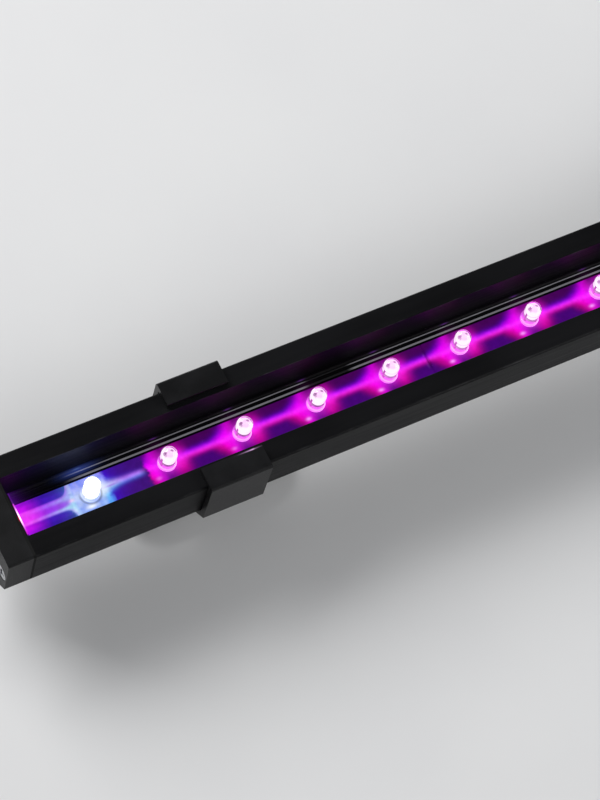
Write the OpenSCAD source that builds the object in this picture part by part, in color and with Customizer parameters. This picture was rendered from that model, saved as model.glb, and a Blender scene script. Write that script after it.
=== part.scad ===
// LED strip batten: a deep black trough with one row of 5 mm diodes on its floor,
// held by two sliding clips on tilting feet.
// X runs along the batten, Y across it and Z up, out of the trough's mouth.
// The origin is on the floor under the batten's middle.

/* [Diode row] */
// Number of diodes in the row, five to a board
led_count = 20; // [10:5:20]
// Distance from one diode to the next
led_pitch = 25; // [22:0.5:30]
// Diameter of a diode's dome
led_d = 5; // [4.8:0.1:5.2]
// Height of a diode above its board
led_h = 8.6; // [8:0.1:9.5]
// Width of the boards
board_w = 10.2; // [9.5:0.1:10.4]
// Thickness of the boards
board_t = 1.6; // [1:0.1:1.6]

/* [Housing] */
// Width of the housing
housing_w = 33; // [32:0.5:36]
// Height of the housing
housing_h = 20; // [19.5:0.5:22]
// Width of the trough
trough_w = 19.4; // [19:0.1:20]
// Depth from the housing's front face to the boards
trough_depth = 13.5; // [12:0.5:14]
// Distance from the last diode to the end of its board
row_end = 22.4; // [21:0.1:26]
// Distance from the last diode to the end of the housing
housing_end = 26.1; // [25.8:0.1:30]

/* [End caps and sockets] */
// Thickness of an end cap
cap_t = 8; // [7.5:0.5:10]
// Thickness of the gasket under a cap
gasket_t = 0.8; // [0.5:0.1:1.2]
// Outer diameter of a socket's threaded collar
socket_d = 12; // [11.5:0.5:13]
// Length of a socket outside its cap
socket_out = 10; // [9.5:0.5:12]

/* [Clips and feet] */
// Distance from the last diode to the middle of the clip
clip_in = 38.5; // [30:0.5:80]
// Width of a clip along the batten
clip_w = 20; // [18:0.5:24]
// Wall of a clip
clip_t = 2; // [1.8:0.1:2.4]
// How far a clip's hook reaches over the housing's front face
hook_reach = 5.5; // [4:0.5:6]
// Gap between a clip and the housing
clip_gap = 0.25; // [0.2:0.05:0.4]
// Height of the clip's underside above the pivot
pivot_drop = 6; // [5.8:0.1:7]
// Length of a foot along the batten
foot_l = 56; // [52:1:70]
// Width of a foot
foot_w = 20; // [18:1:24]
// Distance between a foot's two screw holes
foot_holes = 40; // [38:1:46]
// Diameter of a foot's screw holes
foot_hole_d = 4.4; // [3.5:0.1:5]

/* [Hidden] */
$fn = 48;
eps = 0.01;

per_board = 5;
board_count = led_count / per_board;
row_half = (led_count - 1) * led_pitch / 2;
housing_half = row_half + housing_end;
cap_x = housing_half + gasket_t;
cap_end_x = cap_x + cap_t;
row_end_x = row_half + row_end;

pad_t = 1.25;
plate_t = 2.4;
ear_r = 5;
pivot_z = pad_t + plate_t + ear_r + 0.6;
clip_bottom_z = pivot_z + pivot_drop;
housing_z = clip_bottom_z + clip_t + clip_gap;
front_z = housing_z + housing_h;
board_z = front_z - trough_depth;
tape_t = 0.3;
floor_z = board_z - board_t - tape_t;

trough_half = trough_w / 2;
housing_half_w = housing_w / 2;
channel_half = 3.6;
channel_depth = 2.2;
bevel = 3.5;
edge_r = 0.8;
fillet_r = 1;
bead_y = [6.55, 8.4];
bead_r = [0.5, 0.3];
cell_wall = 1.6;
cell_out = housing_half_w - cell_wall;
cell_in = trough_half + cell_wall;
port_y = (cell_out + cell_in) / 2;
port_z = housing_z + housing_h / 2 - 0.5;
port_r = 1.25;
port_web = 2.4;
lip_t = 0.6;
lip_rise = 1.5;
tongue_t = 1.2;
tongue_reach = 0.7;
tongue_z = housing_z + 1.5;

seal_t = 1.6;
seal_rise = 1.6;

screw_head_r = 2.75;
screw_head_t = 2.2;
screw_clear_r = 1.6;
screw_sink_r = 2.9;
screw_reach = 6;
screw_recess = [2.4, 0.7, 3.4];
screw_sunk = 0.1;

lead_x = 1.27;
lead_s = 0.5;
lead_down = 2.7;
lead_hole_r = 0.45;
flange_h = 1;
flange_out = 0.4;
frame_z = 3;
cup_base_z = 3.7;
cup_z = 4.9;
cup_r = 0.75;
cup_floor_r = 0.35;
cup_depth = 0.6;
cup_rim = 0.1;
chip = [0.36, 0.36, 0.2];
flag = [0.85, 0.9];
flag_top = cup_z + 0.2;
cup_side = lead_x + lead_s / 2;
anode_side = lead_x - lead_s / 2;
resistor_x = 9;
resistor = [3.2, 1.6, 0.6];
joint_r = 0.85;
joint_h = 0.8;
link = [4, 1.2, 0.25];
board_gap = 0.3;
board_split = 14;

socket_z = housing_z + housing_h / 2;
socket_r = socket_d / 2;
socket_bore_r = 4.3;
socket_shank_r = 5;
socket_flange_r = 7.5;
socket_flange_t = 2;
collar_bevel = [0.6, 0.5];
keyway = [1.2, 0.7];
cap_cavity = 4;
cap_fit = 0.1;
nut_t = 2.4;
nut_gap = 0.3;
contact_ring = 2.2;
contact_r = 0.5;
contact_len = 4.2;
contact_angles = [22.5:90:292.5];
socket_back = 1.5;
socket_floor = 9.2;
wire_r = 0.4;
wire_slot_gap = 0.4;
wire_in = 4;

clip_x = row_half - clip_in;
clip_half_w = housing_half_w + clip_gap + clip_t;
clip_top_z = front_z + clip_gap + clip_t;
lug_half = 4;
ear_gap = 0.15;
ear_t = 3;
ear_x = lug_half + ear_gap;
ear_out = ear_x + ear_t;
pivot_r = 1.5;
pivot_hole_r = 1.55;
pivot_head_r = 2.75;
pivot_head_t = 2.6;
pivot_hex_r = 1.45;
pivot_short = 0.8;
knob_r = 5.2;
knob_t = 6;
knob_gap = 0.05;
knob_neck_r = 3.8;
knob_neck_t = 1.5;
knob_flutes = 16;
flute_r = 0.6;
flute_out = 0.25;
pad_inset = 1;

board_names = [for (i = [1:board_count]) str("board_", i)];
frame_names = [for (i = [1:board_count]) str("lead_frames_", i)];
diode_names = [for (i = [1:led_count]) str("diode_", i)];
sided = ["end_cap", "cap_gasket", "board_end_seal", "socket", "socket_contacts", "feed_wires",
    "clip", "foot", "foot_pad", "pivot_screw", "tilt_knob"];
sides = ["left", "right"];
sided_names = [for (name = sided) for (side = sides) str(name, "_", side)];

function arc(cy, cz, r, a0, a1, steps = 6) =
    [for (i = [0:steps]) let (a = a0 + (a1 - a0) * i / steps) [cy + r * cos(a), cz + r * sin(a)]];

function led_x(i) = -row_half + (i - 1) * led_pitch;

// Draws a section given in Y and Z, from x0 to x1
module along_x(x0, x1) {
    translate([x0, 0, 0])
        rotate([90, 0, 90])
            linear_extrude(x1 - x0)
                children();
}

// Draws its children at one end of the batten, mirrored for the left end
module at_side(side) {
    mirror([side == "left" ? 1 : 0, 0, 0])
        children();
}

module rod_x(x0, x1, r, y = 0, z = 0) {
    translate([x0, y, z])
        rotate([0, 90, 0])
            cylinder(r = r, h = x1 - x0);
}

// ---- Housing ----

module outer_section() {
    w = housing_half_w;
    polygon(concat(
        [[-w + bevel, housing_z], [w - bevel, housing_z], [w, housing_z + bevel]],
        arc(w - edge_r, front_z - edge_r, edge_r, 0, 90),
        arc(-w + edge_r, front_z - edge_r, edge_r, 90, 180),
        [[-w, housing_z + bevel]]));
}

module trough_section() {
    w = trough_half;
    polygon(concat(
        [[w, front_z + 1], [-w, front_z + 1]],
        arc(-w + fillet_r, floor_z + fillet_r, fillet_r, 180, 270),
        arc(w - fillet_r, floor_z + fillet_r, fillet_r, 270, 360)));
}

// Half-round beads on the trough's floor, on both sides of the boards
module bead_section() {
    for (side = [-1, 1])
        for (i = [0, 1])
            translate([side * bead_y[i], floor_z])
                circle(r = bead_r[i]);
}

// What the base takes of the housing's section: the floor between two low lips,
// with a tongue on each side that slides into a groove of the side rail
module base_section() {
    half = trough_half + lip_t;
    translate([-half, housing_z])
        square([2 * half, floor_z + lip_rise - housing_z]);
    translate([-half - tongue_reach, tongue_z])
        square([2 * (half + tongue_reach), tongue_t]);
}

// Hollow cells in a side rail, above and below its screw port
module cell_section() {
    translate([cell_in, port_z + port_web])
        square([cell_out - cell_in, front_z - cell_wall - port_z - port_web]);
    translate([cell_in, housing_z + bevel])
        square([cell_out - cell_in, port_z - port_web - housing_z - bevel]);
}

module housing_base() {
    color("#16161a")
        along_x(-housing_half, housing_half)
            union() {
                difference() {
                    base_section();
                    trough_section();
                    translate([-channel_half, floor_z - channel_depth])
                        square([2 * channel_half, channel_depth + 1]);
                }
                bead_section();
            }
}

module side_rail(side) {
    color("#1a1a1f")
        mirror([0, side == "near" ? 1 : 0, 0])
            difference() {
                along_x(-housing_half, housing_half)
                    difference() {
                        outer_section();
                        translate([-housing_half_w - 1, housing_z - 1])
                            square([housing_half_w + 1 + trough_half, housing_h + 2]);
                        base_section();
                        cell_section();
                    }
                rod_x(-housing_half - 1, housing_half + 1, port_r, port_y, port_z);
            }
}

// ---- End caps ----

module end_cap(side) {
    color("#101012")
        at_side(side)
            difference() {
                along_x(cap_x, cap_end_x)
                    outer_section();
                rod_x(cap_x - 1, cap_x + cap_cavity, socket_flange_r + cap_fit, 0, socket_z);
                rod_x(cap_x, cap_end_x + 1, socket_shank_r + cap_fit, 0, socket_z);
                for (y = [-port_y, port_y]) {
                    rod_x(cap_x - 1, cap_end_x + 1, screw_clear_r, y, port_z);
                    rod_x(cap_end_x - screw_head_t, cap_end_x + 1, screw_sink_r, y, port_z);
                }
            }
}

module cap_gasket(side) {
    slot_half = channel_half - wire_slot_gap;
    color("#2a2a2c")
        at_side(side)
            difference() {
                along_x(housing_half, cap_x)
                    outer_section();
                translate([housing_half - 1, -slot_half, floor_z - channel_depth])
                    cube([gasket_t + 2, 2 * slot_half, channel_depth]);
                for (y = [-port_y, port_y])
                    rod_x(housing_half - 1, cap_x + 1, screw_clear_r, y, port_z);
            }
}

module board_end_seal(side) {
    color("#f0d8e8", 0.6)
        at_side(side)
            difference() {
                translate([row_end_x, -trough_half + fillet_r, floor_z])
                    cube([seal_t, trough_w - 2 * fillet_r, board_t + tape_t + seal_rise]);
                along_x(row_end_x - 1, row_end_x + seal_t + 1)
                    bead_section();
            }
}

module cap_screws() {
    color("#b8bcc0")
        for (side = sides)
            at_side(side)
                for (y = [-port_y, port_y])
                    difference() {
                        union() {
                            rod_x(cap_end_x - screw_head_t, cap_end_x - screw_sunk, screw_head_r,
                                y, port_z);
                            rod_x(housing_half - screw_reach, cap_end_x - screw_head_t, port_r,
                                y, port_z);
                        }
                        translate([cap_end_x, y, port_z])
                            for (turn = [0, 90])
                                rotate([turn, 0, 0])
                                    cube(screw_recess, center = true);
                    }
}

// ---- Sockets ----

module socket(side) {
    front = cap_end_x + socket_out;
    color("#8d9094")
        at_side(side)
            difference() {
                union() {
                    rod_x(cap_x + socket_back, cap_end_x, socket_shank_r, 0, socket_z);
                    rod_x(cap_end_x, cap_end_x + socket_flange_t, socket_flange_r, 0, socket_z);
                    rod_x(cap_end_x, front - collar_bevel[0], socket_r, 0, socket_z);
                    translate([front - collar_bevel[0], 0, socket_z])
                        rotate([0, 90, 0])
                            cylinder(r1 = socket_r, r2 = socket_r - collar_bevel[1],
                                h = collar_bevel[0]);
                }
                rod_x(front - socket_floor, front + 1, socket_bore_r, 0, socket_z);
                contact_rods(0);
                // Keyway that lets the plug in one way round
                translate([front - socket_floor, -keyway[0] / 2, socket_z])
                    cube([socket_floor + 1, keyway[0], socket_bore_r + keyway[1]]);
            }
}

module contact_rods(back) {
    for (a = contact_angles)
        rod_x(cap_x + socket_back - back, cap_end_x + socket_out - socket_floor + contact_len,
            contact_r, contact_ring * cos(a), socket_z + contact_ring * sin(a));
}

module socket_contacts(side) {
    color("#d8b25c")
        at_side(side)
            contact_rods(0.5);
}

module socket_nuts() {
    color("#c9a86a")
        for (side = sides)
            at_side(side)
                difference() {
                    translate([cap_x + cap_cavity - nut_t, 0, socket_z])
                        rotate([0, 90, 0])
                            cylinder(r = socket_flange_r - nut_gap, h = nut_t, $fn = 6);
                    rod_x(cap_x - 1, cap_x + cap_cavity + 1, socket_shank_r, 0, socket_z);
                }
}

// Four wires from the socket's contacts, through the gasket, to the underside of the board
module feed_wires(side) {
    back_x = cap_x + socket_back - 0.5 - wire_r;
    pad_x = row_end_x - wire_in;
    wire_z = floor_z - channel_depth / 2;
    color("#c02828")
        at_side(side)
            for (a = contact_angles) {
                y = contact_ring * cos(a);
                wire_z_run(back_x, y, wire_z, socket_z + contact_ring * sin(a));
                rod_x(pad_x, back_x, wire_r, y, wire_z);
                wire_z_run(pad_x, y, wire_z, board_z - board_t);
            }
}

// Upright stretch of wire that starts in a round bend at its lower end
module wire_z_run(x, y, z0, z1) {
    translate([x, y, z0]) {
        sphere(r = wire_r);
        cylinder(r = wire_r, h = z1 - z0);
    }
}

// ---- Boards ----

function board_x0(b) = b == 1 ? -row_end_x
    : led_x((b - 1) * per_board) + board_split + board_gap / 2;
function board_x1(b) = b == board_count ? row_end_x
    : led_x(b * per_board) + board_split - board_gap / 2;
function board_leds(b) = [(b - 1) * per_board + 1 : b * per_board];

module board(b) {
    color("#e8e6ee")
        difference() {
            translate([board_x0(b), -board_w / 2, board_z - board_t])
                cube([board_x1(b) - board_x0(b), board_w, board_t]);
            for (i = board_leds(b))
                for (side = [-1, 1])
                    translate([led_x(i) + side * lead_x, 0, board_z - board_t - 1])
                        cylinder(r = lead_hole_r, h = board_t + 2, $fn = 24);
        }
}

module board_tape() {
    color("#d9d4c4")
        for (side = [-1, 1])
            translate([-row_end_x, side < 0 ? -board_w / 2 : channel_half + 0.1, floor_z])
                cube([2 * row_end_x, board_w / 2 - channel_half - 0.1, tape_t]);
}

module board_links() {
    color("#c87f4a")
        for (b = [1:board_count - 1])
            for (y = [-2, 0, 2])
                translate([board_x1(b) + board_gap / 2 - link[0] / 2, y - link[1] / 2,
                    board_z - board_t - link[2]])
                    cube(link);
}

module resistors() {
    color("#1c1c20")
        for (i = [1:led_count])
            translate([led_x(i) + resistor_x - resistor[0] / 2, -resistor[1] / 2,
                board_z - board_t - resistor[2]])
                cube(resistor);
}

module solder_joints() {
    color("#c4c8cc")
        difference() {
            for (i = [1:led_count])
                for (side = [-1, 1])
                    translate([led_x(i) + side * lead_x, 0, board_z - board_t - joint_h])
                        cylinder(r1 = lead_hole_r, r2 = joint_r, h = joint_h, $fn = 24);
            for (i = [1:led_count])
                leads(i);
        }
}

// ---- Diodes ----

// The two square legs of one diode
module leads(i) {
    for (side = [-1, 1])
        translate([led_x(i) + side * lead_x - lead_s / 2, -lead_s / 2, board_z - lead_down])
            cube([lead_s, lead_s, lead_down + frame_z]);
}

// Legs, reflector cup and anode flag inside one diode
module lead_frame(i) {
    leads(i);
    translate([led_x(i), 0, board_z]) {
        difference() {
            union() {
                translate([-cup_side, -lead_s / 2, frame_z])
                    cube([cup_side, lead_s, cup_z - frame_z]);
                translate([0, 0, cup_base_z])
                    cylinder(r = cup_r, h = cup_z - cup_base_z, $fn = 32);
            }
            translate([0, 0, cup_z - cup_depth])
                cylinder(r1 = cup_floor_r, r2 = cup_r - cup_rim, h = cup_depth + eps, $fn = 32);
        }
        translate([-chip[0] / 2, -chip[1] / 2, cup_z - cup_depth])
            cube(chip);
        translate([anode_side, -lead_s / 2, frame_z])
            cube([lead_s, lead_s, flag_top - frame_z]);
        translate([anode_side, -lead_s / 2, flag_top - flag[1]])
            cube([flag[0], lead_s, flag[1]]);
    }
}

module lead_frames(b) {
    color("#b0a890")
        for (i = board_leds(b))
            lead_frame(i);
}

// Clear dome with a flange, and a flat on the flange's cathode side
module diode(i) {
    r = led_d / 2;
    color(i == 1 ? "#9fc4ff" : "#f29cf0", 0.8)
        difference() {
            translate([led_x(i), 0, board_z])
                difference() {
                    union() {
                        cylinder(r = r + flange_out, h = flange_h);
                        cylinder(r = r, h = led_h - r);
                        translate([0, 0, led_h - r])
                            sphere(r = r);
                    }
                    translate([-r - 1, -r - 1, -1])
                        cube([1, led_d + 2, flange_h + 1]);
                }
            lead_frame(i);
        }
}

// ---- Clips ----

// C-shaped section that wraps the housing's underside and sides and hooks over its front
module clip_section() {
    w = clip_half_w;
    inner = housing_half_w + clip_gap;
    tip = housing_half_w - hook_reach;
    bottom = housing_z - clip_gap;
    top = front_z + clip_gap;
    slope = bevel + clip_t / 2;
    difference() {
        polygon(concat(
            [[-w + slope, clip_bottom_z], [w - slope, clip_bottom_z], [w, clip_bottom_z + slope]],
            arc(w - 1, clip_top_z - 1, 1, 0, 90),
            arc(-w + 1, clip_top_z - 1, 1, 90, 180),
            [[-w, clip_bottom_z + slope]]));
        polygon([[-inner + bevel, bottom], [inner - bevel, bottom], [inner, bottom + bevel],
            [inner, top], [-inner, top], [-inner, bottom + bevel]]);
        translate([-tip, top - 1])
            square([2 * tip, clip_t + 2]);
    }
}

module clip(side) {
    color("#1b1b1f")
        at_side(side)
            difference() {
                union() {
                    along_x(clip_x - clip_w / 2, clip_x + clip_w / 2)
                        clip_section();
                    translate([clip_x - lug_half, -ear_r, pivot_z])
                        cube([2 * lug_half, 2 * ear_r, pivot_drop + clip_t / 2]);
                    rod_x(clip_x - lug_half, clip_x + lug_half, ear_r, 0, pivot_z);
                }
                rod_x(clip_x - lug_half - 1, clip_x + lug_half + 1, pivot_hole_r, 0, pivot_z);
            }
}

// ---- Feet ----

module foot_outline(x, l, w) {
    translate([x, 0]) {
        square([l - w, w], center = true);
        for (end = [-1, 1])
            translate([end * (l - w) / 2, 0])
                circle(d = w);
    }
}

module foot_screw_holes(r, z0, h) {
    for (end = [-1, 1])
        translate([clip_x + end * foot_holes / 2, 0, z0])
            cylinder(r = r, h = h);
}

module foot(side) {
    color("#202024")
        at_side(side)
            difference() {
                union() {
                    translate([0, 0, pad_t])
                        linear_extrude(plate_t)
                            foot_outline(clip_x, foot_l, foot_w);
                    for (ear = [-1, 1])
                        translate([clip_x + ear * (ear_x + ear_out) / 2 - ear_t / 2, 0, 0]) {
                            rod_x(0, ear_t, ear_r, 0, pivot_z);
                            translate([0, -ear_r, pad_t + plate_t / 2])
                                cube([ear_t, 2 * ear_r, pivot_z - pad_t - plate_t / 2]);
                        }
                }
                rod_x(clip_x - ear_out - 1, clip_x + ear_out + 1, pivot_hole_r, 0, pivot_z);
                foot_screw_holes(foot_hole_d / 2, 0, pad_t + plate_t + 1);
            }
}

module foot_pad(side) {
    color("#0c0c0d")
        at_side(side)
            difference() {
                linear_extrude(pad_t)
                    foot_outline(clip_x, foot_l - 2 * pad_inset, foot_w - 2 * pad_inset);
                foot_screw_holes(foot_hole_d / 2 + 0.8, -1, pad_t + 2);
            }
}

module pivot_screw(side) {
    head_x = clip_x - ear_out;
    color("#a8acb0")
        at_side(side)
            difference() {
                union() {
                    rod_x(head_x - pivot_head_t, head_x, pivot_head_r, 0, pivot_z);
                    rod_x(head_x, clip_x + ear_out + knob_t - pivot_short, pivot_r, 0, pivot_z);
                }
                translate([head_x - pivot_head_t - 1, 0, pivot_z])
                    rotate([0, 90, 0])
                        cylinder(r = pivot_hex_r, h = pivot_head_t, $fn = 6);
            }
}

// Fluted thumb nut on the pivot screw
module tilt_knob(side) {
    x0 = clip_x + ear_out + knob_gap;
    color("#26262a")
        at_side(side)
            difference() {
                union() {
                    rod_x(x0, x0 + knob_neck_t, knob_neck_r, 0, pivot_z);
                    rod_x(x0 + knob_neck_t, x0 + knob_t, knob_r, 0, pivot_z);
                }
                rod_x(x0 - 1, x0 + knob_t + 1, pivot_hole_r, 0, pivot_z);
                for (i = [0:knob_flutes - 1])
                    translate([0, 0, pivot_z])
                        rotate([i * 360 / knob_flutes, 0, 0])
                            rod_x(x0 + knob_neck_t - 0.1, x0 + knob_t + 1, flute_r,
                                0, knob_r + flute_out);
            }
}

housing_base();
side_rail("near");  // side_rail_near
side_rail("far");  // side_rail_far
board_tape();
board_links();
resistors();
solder_joints();
cap_screws();
socket_nuts();
for (b = [1:board_count]) {
    board(b);
    lead_frames(b);
}
for (i = [1:led_count])
    diode(i);
for (side = sides) {
    end_cap(side);
    cap_gasket(side);
    board_end_seal(side);
    socket(side);
    socket_contacts(side);
    feed_wires(side);
    clip(side);
    foot(side);
    foot_pad(side);
    pivot_screw(side);
    tilt_knob(side);
}
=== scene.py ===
"""Looks of the LED strip batten: a black trough with a row of lit 5 mm diodes on its floor.

Shaders, meshes and the places of pieces are worked out in millimetres, in the CAD frame. The floor,
the lamps and what Blender is given are in metres.
"""
import math

import bmesh
import bpy
from mathutils import Matrix, Vector


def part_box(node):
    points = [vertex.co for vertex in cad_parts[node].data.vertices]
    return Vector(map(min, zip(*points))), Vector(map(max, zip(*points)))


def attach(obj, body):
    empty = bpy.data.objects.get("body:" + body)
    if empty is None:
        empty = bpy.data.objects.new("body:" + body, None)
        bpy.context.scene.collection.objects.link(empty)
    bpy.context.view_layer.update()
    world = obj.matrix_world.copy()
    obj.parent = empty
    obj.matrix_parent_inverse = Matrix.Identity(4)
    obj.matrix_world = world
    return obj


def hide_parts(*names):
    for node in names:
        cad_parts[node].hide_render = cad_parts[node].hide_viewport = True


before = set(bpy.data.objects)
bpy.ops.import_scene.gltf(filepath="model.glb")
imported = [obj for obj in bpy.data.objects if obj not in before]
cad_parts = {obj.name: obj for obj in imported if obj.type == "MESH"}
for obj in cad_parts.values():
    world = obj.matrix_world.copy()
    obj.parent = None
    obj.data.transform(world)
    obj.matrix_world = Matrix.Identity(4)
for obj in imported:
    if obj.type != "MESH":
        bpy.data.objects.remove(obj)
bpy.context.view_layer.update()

MM = 0.001
SIDES = ("left", "right")
DIODES = sorted((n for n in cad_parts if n.startswith("diode_")), key=lambda n: int(n[6:]))


def diode_x(name):
    """Middle of a diode along the batten. The flat on its flange leaves only the +X side whole."""
    low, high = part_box(name)
    return (high.x - (high.y - low.y) / 2) / MM


# Along the batten. ROW is the length of the row of diodes, JOINT the distance from the first diode to
# the first joint between two boards, and PAST_LAST the distance from the last diode to its board's end
FIRST_X = diode_x(DIODES[0])
PITCH = diode_x(DIODES[1]) - FIRST_X
ROW = diode_x(DIODES[-1]) - FIRST_X
BOARD_PITCH = (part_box("board_2")[1].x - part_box("board_1")[1].x) / MM
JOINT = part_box("board_1")[1].x / MM - FIRST_X
BOARD_END_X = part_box("board_end_seal_right")[0].x / MM
PAST_LAST = BOARD_END_X - FIRST_X - ROW

# Across and up
FLOOR_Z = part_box("board_end_seal_right")[0].z / MM
BOARD_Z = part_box("board_1")[1].z / MM
FRONT_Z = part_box("side_rail_far")[1].z / MM
CLIP_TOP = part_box("clip_left")[1].z / MM
HOUSING_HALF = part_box("side_rail_far")[1].y / MM

# Sizes of the CAD model that no box gives
TROUGH_HALF = 9.7
HOOK_TIP = 11.0
FLANGE_OUT = 0.4
FLANGE_H = 1.0
COLLAR_R = 6.0


# ---- Arithmetic on shader values ----

class Field:
    """A shader value. Ordinary arithmetic on it makes Math nodes."""

    def __init__(self, tree, socket):
        self.tree = tree
        self.socket = socket

    def math(self, operation, *others):
        node = self.tree.nodes.new("ShaderNodeMath")
        node.operation = operation
        for slot, value in zip(node.inputs, (self, *others)):
            connect(self.tree, value, slot)
        return Field(self.tree, node.outputs[0])

    def __add__(self, other):
        return self.math("ADD", other)

    def __sub__(self, other):
        return self.math("SUBTRACT", other)

    def __mul__(self, other):
        return self.math("MULTIPLY", other)

    def __truediv__(self, other):
        return self.math("DIVIDE", other)

    def __neg__(self):
        return self * -1.0

    def __abs__(self):
        return self.math("ABSOLUTE")

    __radd__ = __add__
    __rmul__ = __mul__

    def __rsub__(self, other):
        return -self + other

    def power(self, exponent):
        return self.math("POWER", exponent)

    def at_least(self, other):
        return self.math("MAXIMUM", other)

    def at_most(self, other):
        return self.math("MINIMUM", other)

    def exp(self):
        return self.math("EXPONENT")

    def bell(self, width):
        """1 at 0, falling to nothing a few widths away."""
        return (-(self / width).power(2.0)).exp()

    def ramp(self, start, end, low=0.0, high=1.0):
        """Smooth change from low at start to high at end."""
        node = self.tree.nodes.new("ShaderNodeMapRange")
        node.interpolation_type = "SMOOTHSTEP"
        for name, value in (("Value", self), ("From Min", start), ("From Max", end),
                            ("To Min", low), ("To Max", high)):
            connect(self.tree, value, node.inputs[name])
        return Field(self.tree, node.outputs["Result"])


def connect(tree, value, socket):
    if isinstance(value, Field):
        tree.links.new(value.socket, socket)
    else:
        socket.default_value = value


def mix(tree, share, first, second):
    """Colour between first and second. Plain colours are (red, green, blue)."""
    node = tree.nodes.new("ShaderNodeMix")
    node.data_type = "RGBA"
    connect(tree, share, node.inputs[0])
    for value, socket in ((first, node.inputs[6]), (second, node.inputs[7])):
        connect(tree, value if isinstance(value, Field) else (*value, 1.0), socket)
    return Field(tree, node.outputs[2])


class Material:
    """A Principled material on the object's own coordinates, in millimetres."""

    def __init__(self, name, **settings):
        self.data = bpy.data.materials.new(name)
        self.data.use_nodes = True
        self.tree = self.data.node_tree
        self.shader = self.tree.nodes["Principled BSDF"]
        texture = self.tree.nodes.new("ShaderNodeTexCoord")
        self.place = texture.outputs["Object"]
        split = self.tree.nodes.new("ShaderNodeSeparateXYZ")
        self.tree.links.new(self.place, split.inputs[0])
        self.x, self.y, self.z = (Field(self.tree, s) / MM for s in split.outputs)
        for key, value in settings.items():
            self.set(key.replace("_", " ").title().replace("Ior", "IOR"), value)

    def set(self, socket, value):
        if isinstance(value, tuple) and len(value) == 3:
            value = (*value, 1.0)
        connect(self.tree, value, self.shader.inputs[socket])

    def shade(self, share, dark, light):
        """Base colour between dark and light."""
        self.set("Base Color", mix(self.tree, share, dark, light))

    def glow(self, light):
        """Light given off: one colour value, or its red, green and blue."""
        if not isinstance(light, Field):
            node = self.tree.nodes.new("ShaderNodeCombineColor")
            for name, value in zip(("Red", "Green", "Blue"), light):
                connect(self.tree, value, node.inputs[name])
            light = Field(self.tree, node.outputs[0])
        self.set("Emission Color", light)
        self.set("Emission Strength", 1.0)

    def noise(self, size_mm, detail, stretch=(1.0, 1.0, 1.0)):
        """Noise whose features are about size_mm across, from 0 to 1."""
        mapping = self.tree.nodes.new("ShaderNodeMapping")
        mapping.inputs["Scale"].default_value = stretch
        self.tree.links.new(self.place, mapping.inputs["Vector"])
        node = self.tree.nodes.new("ShaderNodeTexNoise")
        node.inputs["Scale"].default_value = 1 / (size_mm * MM)
        node.inputs["Detail"].default_value = detail
        self.tree.links.new(mapping.outputs[0], node.inputs["Vector"])
        return Field(self.tree, node.outputs["Fac"])

    def bump(self, height, depth_mm):
        node = self.tree.nodes.new("ShaderNodeBump")
        node.inputs["Strength"].default_value = 1.0
        node.inputs["Distance"].default_value = depth_mm * MM
        connect(self.tree, height, node.inputs["Height"])
        self.tree.links.new(node.outputs[0], self.shader.inputs["Normal"])


def worn(name, dark, light, rough, grain, depth, **settings):
    """A material that varies between two colours, with bumps grain mm across and depth mm deep."""
    m = Material(name, **settings)
    cloud = m.noise(9.0, 4.0)
    fine = m.noise(grain, 4.0)
    m.shade(cloud.ramp(0.35, 0.7), dark, light)
    spread = 0.12
    m.set("Roughness", rough + (cloud - 0.5) * spread + (fine - 0.5) * spread)
    m.bump(fine, depth)
    return m


# ---- Patterns of light. Lights are (red, green, blue), and distances are in millimetres ----

def along_row(m):
    """Distances past the diode before, to the diode after, and from the first diode."""
    x = m.x - FIRST_X
    past = x.math("FLOORED_MODULO", PITCH)
    return past, PITCH - past, x


def screen(*shares):
    """Shares of light laid over each other without growing past 1."""
    dark = 1.0
    for share in shares:
        dark = dark * (1.0 - share)
    return 1.0 - dark


def blend(first, second, share):
    """Light between first and second."""
    return [a + (b - a) * share for a, b in zip(first, second)]


def spot(x, y, at_x, at_y, wide, tall):
    """A soft spot, 1 in its middle."""
    return ((x - at_x) / wide).bell(1.0) * ((y - at_y) / tall).bell(1.0)


def radius_from(x, y, at_x=0.0, at_y=0.0):
    return ((x - at_x).power(2.0) + (y - at_y).power(2.0)).power(0.5)


def row_light(past, ahead, x, y):
    """Light of the pink diodes: a narrow streak after each one that fans out before the next."""
    streak = past.ramp(1.0, 3.0)
    fan_width = ahead.at_least(2.0).power(-2.0) * y.ramp(1.0, 3.0, 120.0, 84.0) + 0.8
    fan = ahead.ramp(11.5, 5.5) * ahead.ramp(0.5, 4.8)
    skirt = ((past - 4.0) / 2.5).bell(1.0)
    halo = radius_from(past, y).at_most(radius_from(ahead, y)).bell(3.8)
    glint = spot(ahead, y, 4.2, -3.7, 0.8, 0.5) * x.ramp(55.0, 65.0, 0.35, 1.0)
    red = screen((y + 0.05).bell(1.1) * 0.74 * streak, (y + 0.55).bell(fan_width) * fan * 0.90,
                 (y + 0.45).bell(4.2) * skirt * 0.85, halo * 0.55, glint * 0.9)
    green = y.bell(0.8) * 0.016 + halo.power(2.0) * 0.04 + glint * 0.30 + y.bell(2.5) * skirt * 0.01
    blue = screen((y - 0.40).bell(1.15) * 0.82 * streak, (y - 0.95).bell(fan_width * 0.90) * fan * 0.84,
                  (y - 0.40).bell(3.4) * skirt * 0.55, halo * 0.55, glint * 0.9)
    return red * 0.95 + 0.054, green, blue * 0.9 + y.ramp(-1.0, 4.5, 0.165, 0.085)


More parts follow.
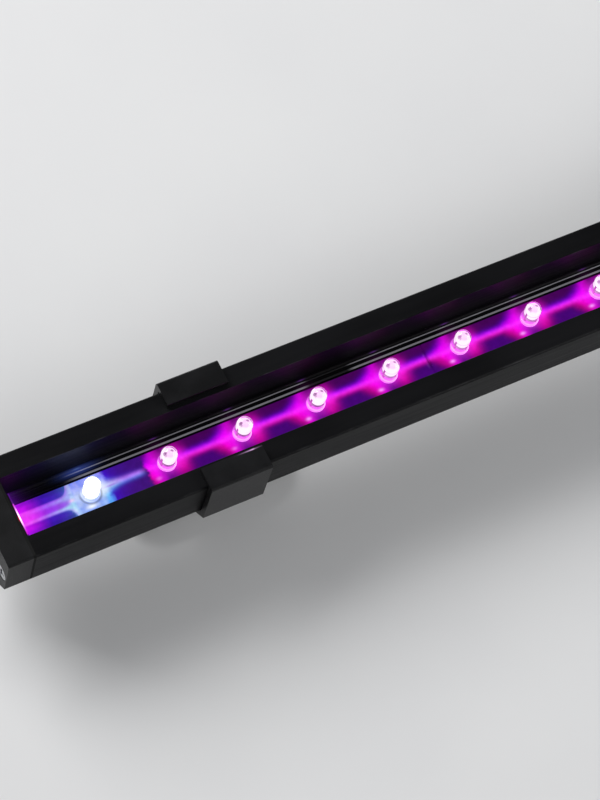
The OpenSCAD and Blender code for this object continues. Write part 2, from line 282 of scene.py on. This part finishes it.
def end_light(out, y, chill):
    """Light beyond a last diode: a band with two bright edges, turning pink at the end of the board.

    chill is how much of the blue-white diode's colour it has.
    """
    start = out.ramp(4.4, 6.4)
    flare = (out * -1.25 + 8.75).exp()
    band = (y + flare).ramp(-2.55, -1.75) * (y - flare).ramp(2.45, 1.7) * start
    lower = (y + 1.65 + flare * 0.1).bell(flare * 0.6 + 0.50) * start
    upper = (y - 1.25 - flare * 0.1).bell(flare * 0.6 + 0.65) * start
    cool = (out * -0.2 + 1.8).exp().at_most(1.3) * chill
    pink = out.ramp(PAST_LAST - 9.0, PAST_LAST + 1.1)
    hot = out.ramp(PAST_LAST - 9.5, PAST_LAST - 0.4)
    margin = abs(y).ramp(3.3, 4.6)
    red = screen((pink * 0.62 + 0.05) * (1.0 - margin * 0.35), band * (hot * 0.4 + 0.27),
                 (lower + upper * 0.8) * 0.10)
    green = screen(band * (cool * 0.06 + hot * 0.03), (lower * 0.46 + upper * 0.22) * cool,
                   (out * -0.45 + 0.4).exp().at_most(0.1) * chill + 0.004)
    blue = screen(pink * 0.47 + 0.45 - margin * 0.12, band * 0.64, (lower + upper) * 0.55)
    return red, green, blue


def cold_light(x, y, torn, ragged):
    """Light of the blue-white diode: a ragged patch that narrows to two rays on its right.

    torn is x with a ragged edge. The last value is the shadow round the diode's flange.
    """
    cloudy = ragged.ramp(0.3, 0.7)
    patch = (torn - y * 0.14).ramp(-6.7, -5.0) * torn.ramp(6.7, 4.9)
    core = y.bell(2.4) * abs(x).ramp(5.8, 4.2)
    ring = (radius_from(x, y) - 3.3).bell(0.35) * y.ramp(2.0, -1.0)
    gleam = spot(x, y, -1.3, -3.9, 1.6, 0.7)
    pinch = spot(x, y, -6.0, 0.0, 0.8, 0.5)
    lake = x.ramp(3.2, 4.6) * y.ramp(-1.2, -2.4)
    right = x.ramp(1.5, 4.0) * x.ramp(18.8, 15.5)
    near = (x * -0.5 + 2.8).at_most(8.0).exp()
    split = (y - 0.02).bell(0.34) * x.ramp(10.0, 7.0)
    red_ray = (y - 0.40).bell(near * 0.70 + 0.80) * right * x.ramp(12.0, 5.0, 0.36, 0.50)
    green_ray = (y - 0.10).bell(near * 0.90 + 0.92) * right * x.ramp(12.0, 5.0, 0.20, 0.60)
    blue_ray = (y - 0.20).bell(near * 1.20 + 1.10) * right * 0.9
    red = screen(patch * (cloudy * 0.16 + 0.15) * (1.0 - lake * 0.8), core * 0.36,
                 red_ray * (1.0 - split * 0.2), gleam * 0.8, pinch * 0.7)
    green = screen(patch * (cloudy * 0.16 + 0.22) * y.ramp(4.5, -1.5, 0.75, 1.1), core * 0.42,
                   green_ray * (1.0 - split * 0.5), gleam * 0.85) * (1.0 - pinch * 0.35)
    blue = screen(patch * 0.86, core * 0.6, blue_ray * (1.0 - split * 0.25), gleam * 0.9)
    return (red, green, blue), ring * 0.45


def board_ends(x, y, ragged):
    """Sawn ends where two boards meet: how dark the painted shade in the joint is, and how bright the
    painted highlight on the burr before it.
    """
    along = (x - JOINT + BOARD_PITCH / 2).math("FLOORED_MODULO", BOARD_PITCH) - BOARD_PITCH / 2
    between = x.ramp(60.0, 70.0) * (x - ROW).ramp(-50.0, -60.0)
    line = along.bell(0.55) * (y + 0.4).bell(3.0) * between * 0.62
    burr_highlight = (along + 0.75).bell(0.35) * ((y + 1.5).bell(1.0) + (y - 1.7).bell(0.5)) * between
    return line, burr_highlight * ragged.ramp(0.35, 0.6) * 0.10


def board_material():
    """White board whose diodes' light is painted on as glow: pink along the row, blue-white and violet round
    the first one. Its base colour is painted near-black violet shade in place of the board's own white.
    """
    m = Material("board_white", roughness=0.4, specular_ior_level=0.08)
    past, ahead, x = along_row(m)
    y = m.y
    ragged = m.noise(2.0, 3.0)
    torn = x + (ragged - 0.5) * 3.4
    out = (-x).at_least(x - ROW).at_least(0.0)

    # Painted light past the last diodes, and painted violet light on the right of the first one
    near_first = torn.ramp(19.4, 17.6)
    ends = end_light(out, y, x.ramp(ROW, 0.0, 0.1, 1.0))
    dusk = (0.045, 0.005, (x * -0.33 + 2.3).exp().at_most(1.5) * 0.28 + 0.17)
    ends = blend(ends, dusk, x.ramp(2.0, 6.0) * x.ramp(60.0, 50.0))
    light = blend(row_light(past, ahead, x, y), ends, out.ramp(1.5, 5.0).at_least(near_first))

    # The first diode's own light painted over it, with a painted shadow round its flange
    cold, shadow = cold_light(x, y, torn, ragged)
    first = x.ramp(-10.0, -7.0) * near_first
    light = [screen(old, new * first) * (1.0 - shadow * first) for old, new in zip(light, cold)]

    # Painted shade in the joints between boards, and a painted highlight on the burr before each
    line, burr_highlight = board_ends(x, y, ragged)
    light = [screen(part * (1.0 - line), burr_highlight * share) for part, share in zip(light, (1.0, 0.25, 1.0))]

    # The painted light is made uneven; the base colour under it is painted near-black violet shade
    mottle = m.noise(1.7, 3.0).ramp(0.2, 0.8, 0.88, 1.10)
    weave = m.noise(0.35, 2.0)
    m.shade(weave, (0.010, 0.002, 0.014), (0.018, 0.003, 0.024))
    m.glow([part * mottle for part in light])
    m.bump(weave, 0.02)
    return m


# ---- Black parts ----

def bead_crest_highlights(m):
    """Painted highlights along the crests of the beads on the trough's floor, in base colour, metal and
    glow. Their shine breaks off now and then.
    """
    wide_y, thin_y = 6.68, 8.32
    side = abs(m.y)
    x = along_row(m)[2]
    floor = m.z.ramp(FLOOR_Z + 1.2, FLOOR_Z + 0.6) * m.z.ramp(FLOOR_Z - 1.0, FLOOR_Z - 0.4)
    first_gap, gap_every = 83.3, 155.0
    gap = (x - first_gap).math("PINGPONG", gap_every / 2).ramp(9.2, 6.2)
    lit = x.ramp(-6.0, 2.0) * (ROW - x).ramp(-6.0, 2.0) * (1.0 - gap * 0.94)
    wide = abs(side - wide_y).ramp(0.42, 0.28)
    thin = abs(side - thin_y).ramp(0.20, 0.08)
    return (wide + thin * 0.8) * floor * lit


def mouth_wear(m):
    """Rubbed paint on the outer and inner edges of the trough's mouth."""
    side = abs(m.y)
    outer = abs(side - (HOUSING_HALF - 0.25)).bell(0.28)
    inner = abs(side - (TROUGH_HALF + 0.02)).bell(0.12)
    top = m.z.ramp(FRONT_Z - 0.5, FRONT_Z - 0.1)
    return (outer + inner) * 0.6 * top * m.noise(2.5, 4.0, (0.35, 1, 1)).ramp(0.45, 0.8)


def trough_light(m):
    """Light of the diodes on the trough's floor and on the foot of its walls."""
    past, ahead, x = along_row(m)
    side = abs(m.y)
    inside = side.ramp(TROUGH_HALF + 0.2, TROUGH_HALF) * m.z.ramp(FLOOR_Z - 0.5, FLOOR_Z)
    low = m.z.ramp(FLOOR_Z + 1.5, FLOOR_Z + 0.2)
    end = (((-x).at_least(x - ROW).at_most(PAST_LAST) - PAST_LAST) * 0.55).exp()
    end = end * low * side.ramp(10.0, 5.2, 0.6, 1.0)
    reach = past.at_most(ahead)
    spark = reach.bell(1.1) * (side - 9.25).bell(0.16) * low
    cold = (x / 4.8).bell(1.0)
    band = cold * (side - 8.7).bell(1.2) * low
    pink = reach.bell(2.6) * side.ramp(9.4, 5.2) * low * x.ramp(8.0, 18.0)
    red = end * 0.09 + spark * 0.06 * (1.0 - cold * 0.5) + band * 0.018 + pink * 0.02
    green = end * 0.004 + spark * (0.008 + cold * 0.05) + band * 0.035
    blue = end * 0.25 + spark * 0.12 + band * 0.18 + pink * 0.02
    return red * inside, green * inside, blue * inside


def housing_material():
    """Satin powder coat with drawn streaks, painted highlights on its beads' crests, a worn mouth and the
    diodes' light painted on the trough.
    """
    m = Material("housing_black", specular_ior_level=0.12)
    cloud = m.noise(14.0, 4.0, (0.3, 1.0, 1.0))
    fine = m.noise(0.22, 3.0)
    drawn = m.noise(1.1, 3.0, (0.02, 1.0, 1.0))
    # Painted highlight: the beads' crests are made lighter, metallic, smoother and glowing
    crest_highlight = bead_crest_highlights(m)
    black = mix(m.tree, cloud.ramp(0.3, 0.7), (0.0030, 0.0030, 0.0036), (0.0058, 0.0058, 0.0068))
    rubbed = mix(m.tree, mouth_wear(m) * 0.7, black, (0.09, 0.09, 0.095))
    m.shade(crest_highlight, rubbed, (0.20, 0.205, 0.215))
    m.set("Metallic", crest_highlight * 0.5)
    rough = 0.44 + (cloud - 0.5) * 0.16 + (fine - 0.5) * 0.2 + (drawn - 0.5) * 0.24
    m.set("Roughness", rough - crest_highlight * 0.12)
    shine = (0.120, 0.118, 0.130)
    m.glow([light + crest_highlight * part for light, part in zip(trough_light(m), shine)])
    m.bump(fine + drawn * 0.6, 0.03)
    return m


def clip_material():
    """Black nylon. The diode beside a clip glints in the edge of its near hook."""
    m = worn("clip_black", (0.0035, 0.0035, 0.004), (0.007, 0.007, 0.008), rough=0.34, grain=0.5,
             depth=0.03, specular_ior_level=0.3)
    ahead = along_row(m)[1]
    edge = (abs(m.y) - HOOK_TIP - 0.42).bell(0.16)
    glint = ((ahead - 5.6).bell(2.5) * 0.55 + (ahead - 4.7).bell(0.8) * 0.6) * edge
    glint = glint * m.z.ramp(CLIP_TOP - 0.5, CLIP_TOP - 0.15) * m.y.ramp(0.0, -1.0)
    glint = glint * m.noise(1.6, 2.0).ramp(0.25, 0.6, 0.6, 1.0)
    m.glow([glint * 0.80, glint * 0.46, glint * 0.86])
    return m


def seal_material():
    """Milky silicone at the end of the board, white-hot where the board's light meets it."""
    m = Material("seal_clear", roughness=0.4, specular_ior_level=0.3)
    # Painted light: a white-hot line where the board's light meets the seal, and a red glow 1 mm into it
    depth = abs(m.x) - BOARD_END_X
    line = depth.ramp(0.5, 0.28)
    hot = (m.y - 0.6).bell(2.3)
    board_wide = abs(m.y).ramp(5.4, 4.9)
    red_glow = (m.y - 0.2).bell(0.7) * (depth - 1.0).bell(0.6)
    cloud = m.noise(1.2, 3.0)
    m.shade(cloud, (0.010, 0.006, 0.010), (0.022, 0.012, 0.020))
    m.glow([line * (0.07 + board_wide * 0.55 + hot * 2.0) + red_glow * 0.8,
            line * (0.003 + hot * 1.5) + red_glow * 0.005,
            line * (0.18 + board_wide * 0.5 + hot * 2.0) + red_glow * 0.02])
    m.bump(cloud, 0.05)
    return m


# ---- Meshes ----

def lathe(profile, steps=48):
    """A closed mesh of revolution from (radius, height) pairs, the first and last on the axis."""
    bm = bmesh.new()
    rings = []
    for radius, height in profile:
        if radius == 0:
            rings.append([bm.verts.new((0, 0, height * MM))])
            continue
        turn = [2 * math.pi * k / steps for k in range(steps)]
        rings.append([bm.verts.new((radius * MM * math.cos(a), radius * MM * math.sin(a), height * MM))
                      for a in turn])
    for below, above in zip(rings, rings[1:]):
        for k in range(steps):
            corners = [below[k % len(below)], below[(k + 1) % len(below)],
                       above[(k + 1) % len(above)], above[k % len(above)]]
            bm.faces.new(list(dict.fromkeys(corners)))
    bmesh.ops.recalc_face_normals(bm, faces=bm.faces)
    return bm


def arc_points(r0, z0, radius, start, end, steps):
    angles = [math.radians(start + (end - start) * k / steps) for k in range(steps + 1)]
    return [(r0 + radius * math.cos(a), z0 + radius * math.sin(a)) for a in angles]


def to_mesh(bm, name, smooth=True):
    mesh = bpy.data.meshes.new(name)
    bm.to_mesh(mesh)
    bm.free()
    for face in mesh.polygons:
        face.use_smooth = smooth
    return mesh


def add_piece(name, mesh, material, slot, at):
    """A new piece on the batten, with its origin at a place in millimetres."""
    piece = bpy.data.objects.new(name, mesh)
    bpy.context.scene.collection.objects.link(piece)
    piece.location = Vector(at) * MM
    if not mesh.materials:
        mesh.materials.append(material.data)
    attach(piece, "batten")
    return piece


# ---- Diodes ----

def dome_profile():
    """Outside of a 5 mm diode: flange with rounded edges, straight side and round top."""
    low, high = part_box(DIODES[0])
    flange = (high.y - low.y) / 2 / MM
    radius = flange - FLANGE_OUT
    top = (high.z - low.z) / MM
    edge, fillet = 0.12, 0.15
    profile = [(0, 0)]
    profile += arc_points(flange - edge, edge, edge, -90, 0, 3)
    profile += arc_points(flange - edge, FLANGE_H - edge, edge, 0, 90, 3)
    profile += arc_points(radius + fillet, FLANGE_H + fillet, fillet, 270, 180, 3)
    profile += arc_points(0, top - radius, radius, 0, 90, 14)
    profile[-1] = (0, top)
    return profile


def core_profile(radius, foot):
    """The lit inside of a diode. The clear dome round it magnifies it."""
    low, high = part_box(DIODES[0])
    below_top = 2.45
    middle = (high.z - low.z) / MM - below_top
    profile = [(0, foot), (radius - 0.35, foot + 0.05), (radius - 0.1, foot + 0.2), (radius, foot + 0.5)]
    profile += arc_points(0, middle, radius, 0, 90, 12)
    profile[-1] = (0, middle + radius)
    return profile


def epoxy_material(name, faint, glow, rim_light, far):
    """Clear epoxy that carries light down into its flange. far is the share on the flange's far side."""
    m = Material(name, roughness=0.05, transmission_weight=1.0, ior=1.45)
    m.set("Base Color", (1.0, 0.90, 0.98))
    cloud = m.noise(0.9, 3.0)
    near = m.y.ramp(2.0, 0.2, far, 1.0)
    out = radius_from(m.x, m.y)
    rim = out.ramp(2.45, 2.7) * out.ramp(2.9, 2.75) * m.z.ramp(1.3, 0.9) * near
    low = m.z.ramp(1.7, 1.0) * cloud.ramp(0.3, 0.65, 0.55, 1.0) * near
    m.glow(mix(m.tree, rim, mix(m.tree, low, faint, glow), rim_light))
    m.bump(cloud, 0.01)
    return m


def core_material(name, hot, warm, shade, smile_depth, waist=0.0):
    """White-hot in the middle, tinted at the top, with dark lead tips and a dark line at its foot.

    waist is the depth of a second, fainter line half-way up.
    """
    m = Material(name, roughness=0.6)
    cloud = m.noise(1.1, 3.0)
    top = m.z.ramp(5.4, 6.8) * cloud.ramp(0.25, 0.6, 0.5, 1.0)
    rim = radius_from(m.x, m.y).ramp(1.05, 1.4) * m.z.ramp(5.6, 6.2)
    left = radius_from(m.x, m.y, -1.10, 0.30).ramp(0.62, 0.25)
    right = radius_from(m.x, m.y, 0.72, 0.30).ramp(0.56, 0.20)
    speck = spot(m.x, m.y, -1.15, -0.35, 0.22, 0.2)
    tips = screen(left * 0.9, right * 0.8, speck * 0.6) * m.z.ramp(6.1, 6.4)
    tips = tips * cloud.ramp(0.35, 0.55, 0.6, 1.0)
    smile = m.z.ramp(3.45, 3.05) * cloud.ramp(0.3, 0.6, 0.7, 1.0) * smile_depth
    line = (m.z - 4.9 - m.x * 0.15).bell(0.16) * cloud.ramp(0.25, 0.5, 0.4, 1.0) * waist
    tint = mix(m.tree, top * (1.0 - rim * 0.8), hot, warm)
    m.set("Base Color", (0.1, 0.05, 0.1))
    m.glow(mix(m.tree, screen(tips, smile, line), tint, shade))
    return m


def diodes():
    """The first diode is blue-white, the rest are pink, and from the fifth on a line shows half-way up."""
    first_lined = 5
    epoxy = {
        "pink": epoxy_material("dome_pink", (0.07, 0.02, 0.07), (0.50, 0.18, 0.48), (0.76, 0.38, 0.76), 0.1),
        "blue": epoxy_material("dome_blue", (0.30, 0.36, 0.40), (0.10, 0.14, 0.22), (0.03, 0.05, 0.12), 1.0),
    }
    lit = {
        "pink": core_material("core_pink", (1.12, 1.06, 1.12), (1.0, 0.66, 0.98), (0.13, 0.0, 0.14), 0.97),
        "lined": core_material("core_pink_far", (1.12, 1.04, 1.12), (1.0, 0.68, 0.98), (0.30, 0.06, 0.30),
                               0.9, waist=0.55),
        "blue": core_material("core_blue", (1.5, 1.6, 1.5), (1.4, 1.5, 1.4), (1.0, 1.1, 1.1), 0.4),
    }
    domes = {kind: to_mesh(lathe(dome_profile()), "dome_" + kind) for kind in epoxy}
    sizes = {"pink": (1.42, 1.7), "lined": (1.42, 1.7), "blue": (2.1, 1.1)}
    cores = {look: to_mesh(lathe(core_profile(*size), 32), "core_" + look) for look, size in sizes.items()}
    for number, name in enumerate(DIODES, 1):
        kind = "blue" if number == 1 else "pink"
        look = "lined" if number >= first_lined else kind
        at = (diode_x(name), 0, BOARD_Z)
        dome = add_piece(name + "_dome", domes[kind], epoxy[kind], "dome_" + kind, at)
        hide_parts(name)
        add_piece(name + "_lit_core", cores[look], lit[look], "dome_" + kind, at)


# ---- Threads of the sockets ----

def thread_mesh(name, start, end, radius, pitch, height, steps=48):
    """A triangular ridge wound round the X axis from start to end, fading in and out."""
    bm = bmesh.new()
    count = round((end - start) / pitch * steps)
    half, root = 0.38 * pitch, radius - 0.1
    sections = []
    for k in range(count + 1):
        x = start + (end - start) * k / count
        turn = 2 * math.pi * k / steps
        rise = height * min(1.0, k / steps * 2, (count - k) / steps * 2)
        shape = ((x - half, root), (x, radius + rise), (x + half, root))
        sections.append([bm.verts.new((px * MM, r * MM * math.cos(turn), r * MM * math.sin(turn)))
                         for px, r in shape])
    for here, there in zip(sections, sections[1:]):
        for k in range(3):
            bm.faces.new((here[k], here[(k + 1) % 3], there[(k + 1) % 3], there[k]))
    bm.faces.new(sections[0])
    bm.faces.new(sections[-1])
    bmesh.ops.recalc_face_normals(bm, faces=bm.faces)
    return to_mesh(bm, name, smooth=False)


def threads(metal):
    """The screw thread on each socket's collar, between its flange and its bevelled front."""
    from_cap, from_front = 2.9, 1.2
    for side in SIDES:
        low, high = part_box("socket_" + side)
        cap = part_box("end_cap_" + side)
        if side == "right":
            start, end = cap[1].x / MM + from_cap, high.x / MM - from_front
        else:
            start, end = low.x / MM + from_front, cap[0].x / MM - from_cap
        mesh = thread_mesh("thread_" + side, start, end, COLLAR_R, pitch=1.0, height=0.24)
        middle_z = (low.z + high.z) / 2 / MM
        add_piece("socket_thread_" + side, mesh, metal, "socket_metal", (0, 0, middle_z))


# ---- Materials of the CAD nodes ----

def dress(names, material):
    """Gives a material to the CAD nodes of these names, with or without a side or a number."""
    for name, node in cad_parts.items():
        stem, end = name.rpartition("_")[::2]
        if name in names or (stem in names and (end in SIDES or end.isdigit())):
            for slot in node.material_slots:
                slot.material = material.data


def dress_lit_parts():
    """Parts that the diodes' light falls on."""
    dress(["housing_base", "side_rail_near", "side_rail_far"], housing_material())
    dress(["board"], board_material())
    dress(["board_end_seal"], seal_material())
    dress(["clip"], clip_material())


def dress_plain_parts():
    """Plastics, rubbers, wires, tape and resistors."""
    dress(["end_cap"], worn("cap_black", (0.004, 0.004, 0.0045), (0.008, 0.008, 0.009), rough=0.46,
                            grain=0.3, depth=0.05, specular_ior_level=0.25))
    dress(["cap_gasket"], worn("gasket_rubber", (0.004, 0.004, 0.004), (0.009, 0.009, 0.009), rough=0.8,
                               grain=0.5, depth=0.06, specular_ior_level=0.15))
    dress(["foot"], worn("foot_black", (0.012, 0.012, 0.013), (0.022, 0.022, 0.024), rough=0.42,
                         grain=0.25, depth=0.05))
    dress(["foot_pad"], worn("pad_rubber", (0.008, 0.008, 0.008), (0.02, 0.02, 0.02), rough=0.8,
                             grain=0.6, depth=0.12))
    dress(["tilt_knob"], worn("knob_black", (0.014, 0.014, 0.015), (0.026, 0.026, 0.028), rough=0.45,
                              grain=0.3, depth=0.06))
    dress(["feed_wires"], worn("wire_red", (0.35, 0.015, 0.015), (0.5, 0.03, 0.03), rough=0.4,
                               grain=0.6, depth=0.02))
    dress(["board_tape"], worn("tape", (0.62, 0.58, 0.48), (0.75, 0.72, 0.62), rough=0.6, grain=0.5,
                               depth=0.03))
    dress(["resistors"], worn("resistor_black", (0.015, 0.015, 0.017), (0.03, 0.03, 0.03), rough=0.35,
                              grain=0.3, depth=0.02))


def metal_material(name, dark, light, rough, grain, depth):
    return worn(name, dark, light, rough, grain, depth, metallic=1.0)


def dress_metals(socket_metal):
    dress(["socket"], socket_metal)
    dress(["cap_screws", "pivot_screw"], metal_material("steel", (0.42, 0.43, 0.45), (0.58, 0.59, 0.60),
                                                        rough=0.30, grain=0.35, depth=0.03))
    dress(["socket_nuts"], metal_material("brass", (0.55, 0.38, 0.16), (0.70, 0.52, 0.26), rough=0.35,
                                          grain=0.4, depth=0.03))
    dress(["socket_contacts"], metal_material("gold_contact", (0.78, 0.52, 0.18), (0.92, 0.68, 0.28),
                                              rough=0.22, grain=0.4, depth=0.01))
    dress(["board_links"], metal_material("copper", (0.60, 0.30, 0.16), (0.78, 0.46, 0.28), rough=0.35,
                                          grain=0.4, depth=0.02))
    dress(["solder_joints"], metal_material("solder", (0.60, 0.61, 0.62), (0.75, 0.76, 0.78), rough=0.25,
                                            grain=0.4, depth=0.04))
    dress(["lead_frames"], metal_material("lead_metal", (0.50, 0.47, 0.42), (0.66, 0.63, 0.56), rough=0.3,
                                          grain=0.3, depth=0.02))


# ---- Stage, lights and camera ----

def floor():
    """A sheet of pale paper, far wider than the view."""
    mesh = bpy.data.meshes.new("floor")
    size = 6.0
    corners = [(-size, -size, 0), (size, -size, 0), (size, size, 0), (-size, size, 0)]
    mesh.from_pydata(corners, [], [(0, 1, 2, 3)])
    piece = bpy.data.objects.new("floor", mesh)
    bpy.context.scene.collection.objects.link(piece)
    m = Material("floor_paper", roughness=0.7)
    m.shade(m.noise(60.0, 4.0), (0.74, 0.74, 0.75), (0.80, 0.80, 0.80))
    mesh.materials.append(m.data)


def area_light(name, at, power):
    """A lamp of 1.1 by 0.8 m, aimed at the left half of the batten."""
    light = bpy.data.lights.new(name, "AREA")
    light.shape = "RECTANGLE"
    light.size, light.size_y = 1.1, 0.8
    light.energy = power
    lamp = bpy.data.objects.new(name, light)
    bpy.context.scene.collection.objects.link(lamp)
    lamp.location = at
    aim = Vector((-0.1, 0, 0))
    lamp.rotation_euler = (aim - Vector(at)).to_track_quat("-Z", "Y").to_euler()


def lights():
    world = bpy.data.worlds.new("soft_room")
    bpy.context.scene.world = world
    world.use_nodes = True
    backdrop = world.node_tree.nodes["Background"]
    backdrop.inputs["Color"].default_value = (0.94, 0.97, 1.0, 1.0)
    backdrop.inputs["Strength"].default_value = 0.16
    area_light("key", (-0.75, 1.15, 0.95), 26.0)
    area_light("fill", (0.95, -0.75, 0.8), 13.0)


def camera():
    """Above the near side and past the left end, rolled so that the row climbs to the right."""
    azimuth, elevation, roll = (math.radians(a) for a in (-45.84, 63.14, 20.92))
    distance = 0.9143
    aim = Vector((FIRST_X + 71.2, 2.9, BOARD_Z)) * MM
    away = Vector((math.sin(azimuth) * math.cos(elevation), -math.cos(azimuth) * math.cos(elevation),
                   math.sin(elevation)))
    lens = bpy.data.cameras.new("camera")
    lens.sensor_width = 36.0
    lens.lens = 137.05
    view = bpy.data.objects.new("camera", lens)
    bpy.context.scene.collection.objects.link(view)
    level = (-away).to_track_quat("-Z", "Y").to_matrix()
    turned = level @ Matrix.Rotation(roll, 3, "Z")
    view.matrix_world = Matrix.Translation(aim + away * distance) @ turned.to_4x4()
    bpy.context.scene.camera = view


camera()
floor()
lights()
dress_lit_parts()
dress_plain_parts()
nickel = metal_material("socket_metal", (0.34, 0.35, 0.36), (0.50, 0.51, 0.52), rough=0.28, grain=0.4,
                        depth=0.02)
dress_metals(nickel)
diodes()
threads(nickel)

bpy.context.scene.view_settings.view_transform = "Standard"
